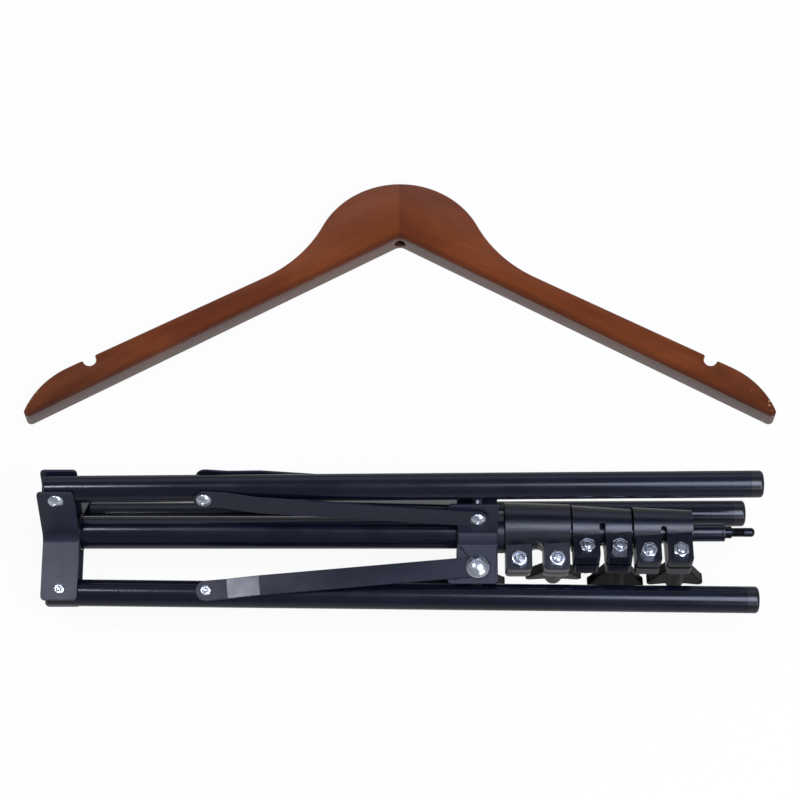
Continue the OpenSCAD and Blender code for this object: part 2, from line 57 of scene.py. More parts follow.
# %% Camera
ELEVATION = 65.0
VIEW_CENTRE = Vector((0.0, -0.0160, 0.0380))
VIEW_DISTANCE = 1.2468
LENS_MM = 96.75
SENSOR_MM = 36.0

camera_data = bpy.data.cameras.new("camera")
camera_data.lens = LENS_MM
camera_data.sensor_width = SENSOR_MM
camera = bpy.data.objects.new("camera", camera_data)
bpy.context.scene.collection.objects.link(camera)
tilt = math.radians(90.0 - ELEVATION)
camera.rotation_euler = (tilt, 0.0, 0.0)
backwards = Vector((0.0, -math.sin(tilt), math.cos(tilt)))
camera.location = VIEW_CENTRE + backwards * VIEW_DISTANCE
bpy.context.scene.camera = camera
print("camera at", [round(v, 3) for v in camera.location])

# %% [markdown]
# Colours are written as the eye knows them, in sRGB hex, and one function turns them to the linear values that
# shaders work in. One more function adds a node, sets what is given as a value and links what is given as a socket.

# %% Colour and node helpers
def linear(hex_colour):
    """An sRGB hex colour as linear red, green, blue and alpha."""
    channels = [int(hex_colour[i : i + 2], 16) / 255.0 for i in (1, 3, 5)]
    return [c / 12.92 if c <= 0.04045 else ((c + 0.055) / 1.055) ** 2.4 for c in channels] + [1.0]


def add_node(tree, kind, inputs=None, **settings):
    """Adds a node to the tree. inputs maps a socket's name or number to a value or to another node's socket."""
    node = tree.nodes.new(kind)
    for name, value in settings.items():
        setattr(node, name, value)
    for name, value in (inputs or {}).items():
        if isinstance(value, bpy.types.NodeSocket):
            tree.links.new(value, node.inputs[name])
        else:
            node.inputs[name].default_value = value
    return node


def new_material(name):
    """An empty node material. Returns the material, its tree and its output node."""
    material = bpy.data.materials.new(name)
    material.use_nodes = True
    material.node_tree.nodes.clear()
    output = add_node(material.node_tree, "ShaderNodeOutputMaterial")
    return material, material.node_tree, output


# %% [markdown]
# The table top is a matt white sheet that runs on past the picture. The camera sees it as plain white, as in a studio
# cut-out, and glossy parts mirror it as a light grey, because a real studio gets dark towards its walls. It still
# takes part of the stand's shadow and throws soft light up under the tubes. The room lights the stand with a pale sky
# and shows itself to the camera as a white backdrop.

# %% Table and room
FLOOR_SIZE = 16.0
TABLE_GAP_MM = 0.2
WHITE_SHARE = 0.93
MIRRORED_WHITE = 0.55
SKY_STRENGTH = 0.36
BACKDROP_WHITE = 0.98
WHITE = (1, 1, 1, 1)

floor_mesh = bpy.data.meshes.new("table")
half = FLOOR_SIZE / 2
corners = [(-half, -half, 0), (half, -half, 0), (half, half, 0), (-half, half, 0)]
floor_mesh.from_pydata(corners, [], [(0, 1, 2, 3)])
table = bpy.data.objects.new("table", floor_mesh)
bpy.context.scene.collection.objects.link(table)
table.location.z = -TABLE_GAP_MM * MM

white_sheet, tree, output = new_material("matt white sheet")
diffuse = add_node(tree, "ShaderNodeBsdfDiffuse", {"Color": linear("#ececec")})
path = add_node(tree, "ShaderNodeLightPath")
from_camera, from_gloss = path.outputs["Is Camera Ray"], path.outputs["Is Glossy Ray"]
glow = add_node(tree, "ShaderNodeMapRange", {"Value": from_gloss, "To Min": 1.0, "To Max": MIRRORED_WHITE})
plain_white = add_node(tree, "ShaderNodeEmission", {"Color": WHITE, "Strength": glow.outputs[0]})
seen = add_node(tree, "ShaderNodeMath", {0: from_camera, 1: from_gloss}, operation="ADD", use_clamp=True)
share = add_node(tree, "ShaderNodeMath", {0: seen.outputs[0], 1: WHITE_SHARE}, operation="MULTIPLY")
mixed = add_node(tree, "ShaderNodeMixShader", {0: share.outputs[0], 1: diffuse.outputs[0], 2: plain_white.outputs[0]})
tree.links.new(mixed.outputs[0], output.inputs["Surface"])
floor_mesh.materials.append(white_sheet)

world = bpy.data.worlds.new("studio")
world.use_nodes = True
tree = world.node_tree
tree.nodes.clear()
output = add_node(tree, "ShaderNodeOutputWorld")
sky = add_node(tree, "ShaderNodeBackground", {"Color": linear("#e9eefa"), "Strength": SKY_STRENGTH})
backdrop = add_node(tree, "ShaderNodeBackground", {"Color": WHITE, "Strength": BACKDROP_WHITE})
from_camera = add_node(tree, "ShaderNodeLightPath").outputs["Is Camera Ray"]
room = add_node(tree, "ShaderNodeMixShader", {0: from_camera, 1: sky.outputs[0], 2: backdrop.outputs[0]})
tree.links.new(room.outputs[0], output.inputs["Surface"])
bpy.context.scene.world = world
bpy.context.scene.view_settings.view_transform = "Standard"
print("sky strength", SKY_STRENGTH)

# %% [markdown]
# Black gloss parts are lit by large pale panels, because what the eye reads as the shape of black paint is the
# reflection of the panels. One hangs over the right of the table and draws the long highlight that grows towards the
# feet, a small one over the left lights the flats that face it, and two broad ones fill from the front and the back.

# %% Light panels
def light_panel(name, place, aim, size, power, tint):
    """A rectangular area light at place that faces aim. size is width and height in metres, power in watts."""
    data = bpy.data.lights.new(name, "AREA")
    data.shape = "RECTANGLE"
    data.size, data.size_y = size
    data.energy = power
    data.color = linear(tint)[:3]
    panel = bpy.data.objects.new(name, data)
    bpy.context.scene.collection.objects.link(panel)
    panel.location = place
    panel.rotation_euler = (Vector(aim) - Vector(place)).to_track_quat("-Z", "Y").to_euler()
    return panel


panels = [
    light_panel("back panel", (0.0, 1.25, 0.95), (0.0, 0.0, 0.0), (1.8, 0.9), 4.0, "#dbe4ff"),
    light_panel("front panel", (0.95, -1.30, 0.85), (0.1, -0.1, 0.0), (1.0, 0.5), 8.0, "#f3f6ff"),
    light_panel("right panel", (0.50, -0.48, 1.25), (0.25, -0.12, 0.0), (0.56, 0.76), 14.0, "#dbe4ff"),
    light_panel("left panel", (-0.48, -0.07, 1.25), (-0.2, -0.10, 0.0), (0.14, 0.24), 5.0, "#eaeeff"),
]
print(len(panels), "light panels")

# %% [markdown]
# The tubes and plates are mild steel under sprayed black enamel. Sprayed paint dries with orange peel, a shallow
# wave about a millimetre across, and it is glossier on the drawn tubes than on the stamped plates. The black has a
# little blue in it, which comes and goes in slow smudges.

# %% Painted steel
NOISE_LOW, NOISE_HIGH = 0.3, 0.7
SMUDGES_PER_METRE = 45.0
ENAMEL_IOR = 1.5


def painted_steel(name, colour, lit_colour, roughness, peel_mm, peel_depth_mm, reflection):
    """peel_mm is the length of a wave of the orange peel."""
    material, tree, output = new_material(name)
    place = add_node(tree, "ShaderNodeTexCoord").outputs["Object"]
    peel = add_node(tree, "ShaderNodeTexNoise", {"Vector": place, "Scale": 1.0 / (peel_mm * MM), "Detail": 2.0})
    smudge = add_node(tree, "ShaderNodeTexNoise", {"Vector": place, "Scale": SMUDGES_PER_METRE, "Detail": 4.0})
    rough = add_node(tree, "ShaderNodeMapRange",
                     {"Value": smudge.outputs[0], "From Min": NOISE_LOW, "From Max": NOISE_HIGH,
                      "To Min": roughness - 0.04, "To Max": roughness + 0.05})
    bump = add_node(tree, "ShaderNodeBump",
                    {"Height": peel.outputs[0], "Strength": 0.5, "Distance": peel_depth_mm * MM})
    tint = add_node(tree, "ShaderNodeMix", {0: smudge.outputs[0], 6: linear(colour), 7: linear(lit_colour)},
                    data_type="RGBA")
    paint = add_node(tree, "ShaderNodeBsdfPrincipled",
                     {"Base Color": tint.outputs[2], "Roughness": rough.outputs[0], "IOR": ENAMEL_IOR,
                      "Specular IOR Level": reflection, "Normal": bump.outputs[0]})
    tree.links.new(paint.outputs[0], output.inputs["Surface"])
    return material


tube_enamel = painted_steel("black gloss enamel on drawn tube", "#060911", "#0d1222", 0.20, 1.6, 0.0015, 0.34)
plate_enamel = painted_steel("black satin enamel on stamped plate", "#131621", "#1a1f2f", 0.42, 0.9, 0.010, 0.42)
strut_enamel = painted_steel("black satin enamel on flat bar", "#12141f", "#191c2b", 0.27, 0.9, 0.006, 0.36)

# %% [markdown]
# Locks, collar sleeve, wing knobs and feet are black nylon, injection moulded in a spark-eroded tool. The tool leaves
# a fine even grain that scatters the highlight, so nylon looks greyer and softer than the paint beside it. The guides
# inside the tubes are pale acetal, and the hanger's socket has a brown liner.

# %% Moulded nylon
GRAINS_PER_METRE = 1600.0
GRAIN_DEPTH_MM = 0.02
FLOW_PER_METRE = 60.0
NYLON_IOR = 1.53


def moulded_nylon(name, colour, roughness, reflection):
    material, tree, output = new_material(name)
    place = add_node(tree, "ShaderNodeTexCoord").outputs["Object"]
    grain = add_node(tree, "ShaderNodeTexNoise", {"Vector": place, "Scale": GRAINS_PER_METRE, "Detail": 1.0})
    flow = add_node(tree, "ShaderNodeTexNoise", {"Vector": place, "Scale": FLOW_PER_METRE, "Detail": 3.0})
    rough = add_node(tree, "ShaderNodeMapRange",
                     {"Value": flow.outputs[0], "From Min": NOISE_LOW, "From Max": NOISE_HIGH,
                      "To Min": roughness - 0.04, "To Max": roughness + 0.05})
    bump = add_node(tree, "ShaderNodeBump",
                    {"Height": grain.outputs[0], "Strength": 0.35, "Distance": GRAIN_DEPTH_MM * MM})
    nylon = add_node(tree, "ShaderNodeBsdfPrincipled",
                     {"Base Color": linear(colour), "Roughness": rough.outputs[0], "IOR": NYLON_IOR,
                      "Specular IOR Level": reflection, "Normal": bump.outputs[0]})
    tree.links.new(nylon.outputs[0], output.inputs["Surface"])
    return material


lock_nylon = moulded_nylon("black moulded nylon", "#0a0e19", 0.30, 0.40)
knob_nylon = moulded_nylon("black nylon knob", "#05060a", 0.36, 0.09)
foot_nylon = moulded_nylon("black nylon foot", "#0a0c13", 0.24, 0.46)
socket_liner = moulded_nylon("brown nylon liner", "#3f2415", 0.5, 0.2)
acetal = moulded_nylon("natural acetal", "#dcd9d0", 0.45, 0.5)

# %% [markdown]
# Rivets, nuts and bolts are steel with bright zinc plating. Zinc is a little blue, and the crystals of the plating
# and the marks of forming break the reflection up. The pins inside the legs are drawn steel, and the stud is black
# chrome.

# %% Zinc plated steel
MARKS_PER_METRE = 900.0


def plated_steel(name, colour, roughness, mark_depth_mm):
    material, tree, output = new_material(name)
    place = add_node(tree, "ShaderNodeTexCoord").outputs["Object"]
    marks = add_node(tree, "ShaderNodeTexNoise", {"Vector": place, "Scale": MARKS_PER_METRE, "Detail": 3.0})
    rough = add_node(tree, "ShaderNodeMapRange",
                     {"Value": marks.outputs[0], "From Min": NOISE_LOW, "From Max": NOISE_HIGH,
                      "To Min": roughness - 0.06, "To Max": roughness + 0.1})
    bump = add_node(tree, "ShaderNodeBump",
                    {"Height": marks.outputs[0], "Strength": 0.5, "Distance": mark_depth_mm * MM})
    metal = add_node(tree, "ShaderNodeBsdfPrincipled",
                     {"Base Color": linear(colour), "Metallic": 1.0, "Roughness": rough.outputs[0],
                      "Normal": bump.outputs[0]})
    tree.links.new(metal.outputs[0], output.inputs["Surface"])
    return material


zinc = plated_steel("bright zinc plated steel", "#cfd4dd", 0.22, 0.05)
dome_zinc = plated_steel("bright zinc on a cold headed dome", "#d4d8e0", 0.20, 0.008)
pin_steel = plated_steel("drawn steel pin", "#8d9096", 0.35, 0.02)
black_chrome = plated_steel("black chrome on steel", "#24252a", 0.18, 0.008)

# %% [markdown]
# The hanger is beech stained walnut brown under clear lacquer. Each arm is sawn along its own length, so the grain
# follows the arm. Beech has no strong figure: what shows is a slow change of stain, fine dark fibre lines and short
# flecks, all stretched along the grain. The lacquer stays clear where one looks straight at it and turns white where
# it mirrors the table, as on the faces inside the V. Seen almost edge on it is dull, rubbed by cloth. At the ends of
# the arms it is worn to pale flecks.

# %% Lacquered wood
GRAIN_SLOPE = math.radians(28.3)
LOWER = math.radians(28.9)
LOWER_EDGE_MM = 92.93
# painted shade: the width of the darker strip along the lower edge of each arm
EDGE_SHADE_MM = 5.5
ARM_END = 0.222
STAIN_SCALE = (14.0, 45.0, 45.0)
FIBRE_SCALE = (45.0, 900.0, 900.0)
FLECK_SCALE = (160.0, 700.0, 700.0)
SCUFFS_PER_METRE = 420.0
WORN_WOOD = "#b98a64"
LACQUER_IOR = 1.95


def stained_beech(name, light, dark, side):
    """side is 1 for the arm that runs down to the right and -1 for the left."""
    material, tree, output = new_material(name)
    place = add_node(tree, "ShaderNodeTexCoord").outputs["Object"]

    def turned_by(angle):
        return add_node(tree, "ShaderNodeMapping", {"Vector": place, "Rotation": (0, 0, side * angle)},
                        vector_type="POINT").outputs[0]

    def along_grain(scale, detail, distortion=0.0):
        stretched = add_node(tree, "ShaderNodeMapping", {"Vector": grain, "Scale": scale})
        return add_node(tree, "ShaderNodeTexNoise", {"Vector": stretched.outputs[0], "Scale": 1.0, "Detail": detail,
                                                     "Distortion": distortion}).outputs[0]

    def ramp(value, low, high, first, last, **settings):
        return add_node(tree, "ShaderNodeMapRange", {"Value": value, "From Min": low, "From Max": high,
                                                     "To Min": first, "To Max": last}, **settings).outputs[0]

    grain = turned_by(GRAIN_SLOPE)
    fibres = along_grain(FIBRE_SCALE, 3.0)
    body = add_node(tree, "ShaderNodeValToRGB", {0: along_grain(STAIN_SCALE, 3.0, 0.8)})
    for element, position, stain in zip(body.color_ramp.elements, (0.3, 0.72), (dark, light)):
        element.position = position
        element.color = linear(stain)

    off_edge = add_node(tree, "ShaderNodeSeparateXYZ", {0: turned_by(LOWER)}).outputs["Y"]
    along = add_node(tree, "ShaderNodeSeparateXYZ", {0: place}).outputs["X"]
    # fibre lines, short flecks, painted shade in a strip along the lower edge, the darker ends and the glued joint
    shade = ramp(fibres, 0.35, 0.65, 0.90, 1.05)
    for darkening in (
        ramp(along_grain(FLECK_SCALE, 2.0), 0.64, 0.76, 1.0, 0.82),
        # painted shade: the top face darkens in a strip along the lower edge of the arm
        ramp(off_edge, LOWER_EDGE_MM * MM, (LOWER_EDGE_MM + EDGE_SHADE_MM) * MM, 0.55, 1.0, interpolation_type="SMOOTHSTEP"),
        ramp(along, side * 0.145, side * ARM_END, 1.0, 0.70),
        ramp(along, side * 0.08 * MM, side * 0.4 * MM, 0.68, 1.0),
    ):
        shade = add_node(tree, "ShaderNodeMath", {0: shade, 1: darkening}, operation="MULTIPLY").outputs[0]
    colour = add_node(tree, "ShaderNodeVectorMath", {0: body.outputs[0], "Scale": shade}, operation="SCALE")

    scuffs = add_node(tree, "ShaderNodeTexNoise", {"Vector": place, "Scale": SCUFFS_PER_METRE, "Detail": 3.0})
    at_end = ramp(along, side * 0.196, side * ARM_END, 0.0, 0.21)
    worn = add_node(tree, "ShaderNodeMath", {0: scuffs.outputs[0], 1: at_end}, operation="ADD")
    worn_share = ramp(worn.outputs[0], 0.82, 0.87, 0.0, 1.0)
    worn_colour = add_node(tree, "ShaderNodeMix", {0: worn_share, 6: colour.outputs[0], 7: linear(WORN_WOOD)},
                           data_type="RGBA")

    facing = add_node(tree, "ShaderNodeLayerWeight", {"Blend": 0.5}).outputs["Facing"]
    lacquer = add_node(tree, "ShaderNodeMath", {0: ramp(facing, 0.10, 0.55, 0.06, 1.0),
                                                1: ramp(facing, 0.67, 0.75, 1.0, 0.15)}, operation="MULTIPLY")
    bump = add_node(tree, "ShaderNodeBump", {"Height": fibres, "Strength": 0.2, "Distance": 0.01 * MM})
    wood = add_node(tree, "ShaderNodeBsdfPrincipled",
                    {"Base Color": worn_colour.outputs[2], "Roughness": 0.5, "IOR": 1.5, "Specular IOR Level": 0.10,
                     "Coat Weight": lacquer.outputs[0], "Coat Roughness": 0.25, "Coat IOR": LACQUER_IOR,
                     "Normal": bump.outputs[0]})
    tree.links.new(wood.outputs[0], output.inputs["Surface"])
    return material


left_wood = stained_beech("walnut stained beech, left arm", "#7b3c16", "#5e2708", -1)
right_wood = stained_beech("walnut stained beech, right arm", "#7a3a12", "#5f2809", 1)

# %% [markdown]
# Most CAD nodes already have their true shape. Each keeps its mesh and gets its finish. The modifiers join its
# points, clear the triangles inside flat faces and round the sharp edges, because a real stamped or moulded edge
# always catches a thin line of light.

# %% Dress the CAD nodes
WELD_MM = 0.002
FLAT_ANGLE = math.radians(0.6)
EDGE_ANGLE = math.radians(35)
BEND_ANGLE = math.radians(4)


def ease_edges(piece, edge_mm, crisp=False, clamped=False):
    """Cleans the flat faces and rounds the sharp edges. crisp keeps slight bends as creases. clamped keeps the rounding
    from running past short edges."""
    weld = piece.modifiers.new("weld", "WELD")
    weld.merge_threshold = WELD_MM * MM
    flat = piece.modifiers.new("flat faces", "DECIMATE")
    flat.decimate_type = "DISSOLVE"
    flat.angle_limit = FLAT_ANGLE
    bevel = piece.modifiers.new("eased edge", "BEVEL")
    bevel.width = edge_mm * MM
    bevel.segments = 2
    bevel.limit_method = "ANGLE"
    bevel.angle_limit = EDGE_ANGLE
    bevel.use_clamp_overlap = clamped
    if crisp:
        crease = piece.modifiers.new("press brake bend", "EDGE_SPLIT")
        crease.split_angle = BEND_ANGLE
    else:
        normals = piece.modifiers.new("even shading", "WEIGHTED_NORMAL")
        normals.weight = 80


def dress(node, material, edge_mm=0.0):
    """Gives a CAD node its material and, where edge_mm isn't 0, its eased edges."""
    piece = nodes[node]
    piece.data.materials.clear()
    piece.data.materials.append(material)
    if edge_mm:
        ease_edges(piece, edge_mm, crisp=material == strut_enamel, clamped=material == lock_nylon)


finishes = {
    "outer_tube": (tube_enamel, 0.2), "column_foot_cap": (foot_nylon, 0.25), "collar_sleeve": (lock_nylon, 0.4),
    "top_plug": (lock_nylon, 0.3), "hanger_socket": (socket_liner, 0.1), "hanger_left_arm": (left_wood, 0.8),
    "hanger_right_arm": (right_wood, 0.8),
}
for i in (1, 2, 3):
    finishes |= {
        f"hub_plate_{i}": (plate_enamel, 0.35), f"collar_plate_{i}": (plate_enamel, 0.35),
        f"leg_{i}_tube": (tube_enamel, 0.2), f"leg_{i}_foot": (foot_nylon, 0.0), f"leg_{i}_plug": (foot_nylon, 0.3),
        f"leg_{i}_strut_pin": (pin_steel, 0.2), f"strut_{i}_plates": (strut_enamel, 0.3),
        f"lock_{i}_body": (lock_nylon, 0.7),
    }
for i in (2, 3, 4):
    finishes |= {f"section_{i}_tube": (tube_enamel, 0.2), f"section_{i}_guide": (acetal, 0.2)}
for node, (material, edge_mm) in finishes.items():
    dress(node, material, edge_mm)
print(len(finishes), "of", len(nodes), "nodes dressed")

# %% [markdown]
# Nuts, bolt ends and rivets are small, but they are the only bright things on the stand, so the eye goes to them.
# Each is turned or pressed on the real object, and here it is a profile turned about its own axis, whose radius or
# height may change with the angle. Its place and its length are measured on the CAD solid that it stands for.

# %% Measure the CAD solids
record = frame["record"]
body_of_node = {node: body for body, names in record["behaviour"]["bodies"].items() for node in names}


def points_of(node):
    return [vertex.co.copy() for vertex in nodes[node].data.vertices]


def solids_of(node):
    """The points of each separate solid in a CAD node. The solids are sorted by their places, along X first."""
    shape = bmesh.new()
    shape.from_mesh(nodes[node].data)
    bmesh.ops.remove_doubles(shape, verts=shape.verts, dist=0.001 * MM)
    left = set(shape.verts)
    groups = []
    while left:
        stack = [left.pop()]
        points = []
        while stack:
            vertex = stack.pop()
            points.append(vertex.co.copy())
            for edge in vertex.link_edges:
                other = edge.other_vert(vertex)
                if other in left:
                    left.discard(other)
                    stack.append(other)
        groups.append(points)
    shape.free()
    return sorted(groups, key=lambda points: [round(min(p[k] for p in points) / MM, 1) for k in range(3)])


def seat_along(points, axis):
    """The middle line of a solid along an axis, as the point where it starts, and the solid's length."""
    across = axis.orthogonal().normalized()
    third = axis.cross(across)
    middle = Vector((0.0, 0.0, 0.0))
    for direction in (across, third):
        reach = [point.dot(direction) for point in points]
        middle += direction * (min(reach) + max(reach)) / 2
    reach = [point.dot(axis) for point in points]
    return middle + axis * min(reach), max(reach) - min(reach)


def standing_at(point, axis, turn=0.0):
    """A matrix that puts z = 0 at the point, with Z along the axis, turned by some degrees about it."""
    upright = Vector((0.0, 0.0, 1.0)).rotation_difference(axis).to_matrix().to_4x4()
    return Matrix.Translation(point) @ upright @ Matrix.Rotation(math.radians(turn), 4, "Z")


print("solids in lock_1_nuts:", len(solids_of("lock_1_nuts")))

# %% Turn a profile
STEPS = 72


def turn_profile(shape, profile, place, form=None, ring=False):
    """Turns (z, r) points in mm about Z. form(z, r, angle) may change them. ring joins the last point to the first."""
    rows = []
    for z, r in profile:
        if r == 0 and not ring:
            rows.append([shape.verts.new(place @ Vector((0, 0, z * MM)))])
            continue
        row = []
        for k in range(STEPS):
            angle = 2 * math.pi * k / STEPS
            height, radius = form(z, r, angle) if form else (z, r)
            point = Vector((radius * math.cos(angle), radius * math.sin(angle), height)) * MM
            row.append(shape.verts.new(place @ point))
        rows.append(row)
    pairs = list(zip(rows, rows[1:])) + ([(rows[-1], rows[0])] if ring else [])
    for low_row, high_row in pairs:
        for k in range(STEPS):
            following = (k + 1) % STEPS
            if len(low_row) == 1:
                shape.faces.new((low_row[0], high_row[following], high_row[k]))
            elif len(high_row) == 1:
                shape.faces.new((low_row[k], low_row[following], high_row[0]))
            else:
                shape.faces.new((low_row[k], low_row[following], high_row[following], high_row[k]))


def make_piece(shape, node, material, sharp_degrees=32):
    """Makes an object of the shape. It stands for the CAD node, rides on the node's body, and the node is hidden."""
    bmesh.ops.recalc_face_normals(shape, faces=shape.faces)
    mesh = bpy.data.meshes.new(f"{node}_modelled")
    shape.to_mesh(mesh)
    shape.free()
    mesh.shade_smooth()
    mesh.set_sharp_from_angle(angle=math.radians(sharp_degrees))
    mesh.materials.append(material)
    piece = bpy.data.objects.new(f"{node}_modelled", mesh)
    bpy.context.scene.collection.objects.link(piece)
    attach(piece, body_of_node[node])
    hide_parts(node)


# %% [markdown]
# A nut is a hexagon whose corners are turned off by a 30 degree chamfer, and the bolt stands a thread or two out of
# it. The thread is a true helix: the radius falls into a V groove that climbs one pitch a turn. Each lock has two
# screws, one fixed with a head underneath and one that the knob turns. Lengths are in mm and turns in degrees.

# %% Nuts and bolts
FLAT_R = 4.0
CHAMFER_R = 3.84
FACE_R = 3.8
CHAMFER = math.radians(30)
NUT_HEIGHT = 4.0
COUNTERSINK = 0.45
BOLT_R = 2.5
PITCH = 0.8
THREAD_DEPTH = 0.42
THREAD_ROW = PITCH / 8
THREADED = 8.0
HEAD_HEIGHT = 3.3
NUT_TURNS = {1: (8, 24), 2: (14, 52), 3: (33, 3)}


def hexagon(chamfer_at):
    """A form that lays the widest points of a profile on a hexagon and lowers its chamfered corners."""
    def form(z, r, angle):
        if r < FLAT_R:
            return z, r
        sixth = math.pi / 3
        off = (angle + sixth / 2) % sixth - sixth / 2
        reach = FLAT_R / math.cos(off)
        drop = (reach - CHAMFER_R) * math.tan(CHAMFER)
        return (z - drop if z == chamfer_at else z), reach
    return form


def helix(start, depth=THREAD_DEPTH):
    """A form that cuts a V thread into a profile from z = start upward."""
    def form(z, r, angle):
        if z < start:
            return z, r
        turns = z / PITCH - angle / (2 * math.pi)
        groove = abs((turns % 1.0) * 2 - 1)
        return z, r - depth * groove * min(1.0, (z - start) / PITCH)
    return form


def nut(shape, place):
    """A nut on z = 0 with its chamfered side up."""
    profile = [(0, BOLT_R), (0, FLAT_R), (NUT_HEIGHT, FLAT_R), (NUT_HEIGHT, FACE_R),
               (NUT_HEIGHT, BOLT_R + COUNTERSINK), (NUT_HEIGHT - COUNTERSINK, BOLT_R)]
    turn_profile(shape, profile, place, hexagon(NUT_HEIGHT), ring=True)


def bolt_head(shape, place):
    """A hexagonal head with a shallow dish in its top. A short stub below z = 0 reaches into the bar."""
    profile = [(-0.4, 0), (-0.4, BOLT_R - 0.1), (0, BOLT_R - 0.1), (0, FLAT_R), (HEAD_HEIGHT, FLAT_R),
               (HEAD_HEIGHT, FACE_R), (HEAD_HEIGHT, 2.2), (HEAD_HEIGHT - 0.15, 1.9), (HEAD_HEIGHT - 0.15, 0)]
    turn_profile(shape, profile, place, hexagon(HEAD_HEIGHT))


def threaded_bar(shape, place, length, radius=BOLT_R - 0.05, chamfer=0.5):
    """A bar from z = 0, with thread on its last stretch and a chamfered end."""
    thread_start = length - THREADED
    profile = [(0, 0), (0, radius), (thread_start, radius)]
    for k in range(1, int(THREADED / THREAD_ROW) + 1):
        z = thread_start + k * THREAD_ROW
        profile.append((z, min(radius, radius - chamfer + (length - z))))
    profile.append((length, 0))
    turn_profile(shape, profile, place, helix(thread_start))


def towards_wide_end(points, axis):
    """The axis, turned so that the widest part of the solid lies past its middle."""
    start, length = seat_along(points, axis)
    reach = [((point - start) - axis * (point - start).dot(axis)).length for point in points]
    widest = max(reach)
    heights = [(point - start).dot(axis) for point, r in zip(points, reach) if r > widest - 0.1 * MM]
    return axis if sum(heights) / len(heights) > length / 2 else -axis


for i in (1, 2, 3):
    knob_axis = Vector(joints[f"lock_{i}_knob_turn"]["axis"])
    points = points_of(f"lock_{i}_bolt")
    to_head = towards_wide_end(points, knob_axis)
    start, length = seat_along(points, to_head)
    under_head = start + to_head * (length - HEAD_HEIGHT * MM)
    shape = bmesh.new()
    bolt_head(shape, standing_at(under_head, to_head))
    threaded_bar(shape, standing_at(under_head, -to_head, 20), length / MM - HEAD_HEIGHT)
    make_piece(shape, f"lock_{i}_bolt", zinc)

    shape = bmesh.new()
    for points, turn in zip(solids_of(f"lock_{i}_nuts"), NUT_TURNS[i]):
        start, _ = seat_along(points, -to_head)
        nut(shape, standing_at(start, -to_head, turn))
    make_piece(shape, f"lock_{i}_nuts", zinc)

    shape = bmesh.new()
    points = points_of(f"lock_{i}_knob_screw")
    start, length = seat_along(points, -to_head)
    threaded_bar(shape, standing_at(start, -to_head, 70), length / MM)
    make_piece(shape, f"lock_{i}_knob_screw", zinc)
    print(f"lock {i}: bolts point along", [round(v, 3) for v in -to_head])

# %% [markdown]
# A rivet goes in with a round head that has a dimple, and its far end is rolled out by a tool that leaves four marks.
# The round-headed bolt that clamps the collar has a smooth dome.

# %% Rivets and the clamp bolt
RIVET_R = 2.5
HEAD = [(0.0, 4.5), (0.35, 4.46), (0.85, 4.12), (1.35, 3.45), (1.75, 2.65), (2.0, 1.9), (2.08, 1.5), (1.95, 1.2),
        (1.6, 0.95), (1.45, 0.0)]
TAIL = [(0.0, 3.1), (0.35, 3.05), (0.75, 2.85), (1.0, 2.45), (1.1, 1.95), (1.0, 1.5), (0.6, 1.1), (0.35, 0.8),
        (0.3, 0.0)]
HEAD_H = 2.2
TAIL_H = 1.1


def four_marks(seat):
    """A form that presses four marks into a rolled tail that lies below z = seat."""
    def form(z, r, angle):
        rolled = z < seat and 0.9 < r < 2.6
        return (z + 0.06 * (1 + math.cos(4 * angle)) if rolled else z), r
    return form


def rivet(shape, points, axis, turn):
    axis = towards_wide_end(points, axis)
    start, length = seat_along(points, axis)
    length /= MM
    under_head = length - HEAD_H
    profile = [(TAIL_H - z, r) for z, r in reversed(TAIL)] + [(TAIL_H, RIVET_R), (under_head, RIVET_R)]
    profile += [(under_head + z, r) for z, r in HEAD]
    turn_profile(shape, profile, standing_at(start, axis, turn), four_marks(TAIL_H - 0.05))


def loose_head(shape, points, axis, turn):
    """One end of a strut's rivet. The tall solids are heads and the flat ones are tails."""
    axis = -towards_wide_end(points, axis)
    start, length = seat_along(points, axis)
    if length > (HEAD_H + TAIL_H) / 2 * MM:
        profile = [(0, 0)] + [(z, r) for z, r in HEAD]
        turn_profile(shape, profile, standing_at(start, axis, turn))
    else:
        flipped = standing_at(start, axis, turn) @ Matrix.Rotation(math.pi, 4, "X")
        profile = [(0, 0)] + [(-z, r) for z, r in TAIL]
        turn_profile(shape, profile, flipped, four_marks(-0.05))


def nearest_axis(points, choices):
    """Of some joint axes, the one along which the solid's points stay inside the smallest radius."""
    def spread(axis):
        start, _ = seat_along(points, axis)
        return max(((p - start) - axis * (p - start).dot(axis)).length for p in points)
    return min(choices, key=spread)


hinge_axes = [Vector(joints[f"leg_{i}_hinge"]["axis"]) for i in (1, 2, 3)]
for node, first_turn in (("hub_rivets", 15), ("collar_rivets", 50)):
    shape = bmesh.new()
    for k, points in enumerate(solids_of(node)):
        rivet(shape, points, nearest_axis(points, hinge_axes), first_turn + 29 * k)
    make_piece(shape, node, zinc)
for i in (1, 2, 3):
    shape = bmesh.new()
    for k, points in enumerate(solids_of(f"strut_{i}_rivet")):
        loose_head(shape, points, hinge_axes[i - 1], 20 + 33 * k + 17 * i)
    make_piece(shape, f"strut_{i}_rivet", zinc)

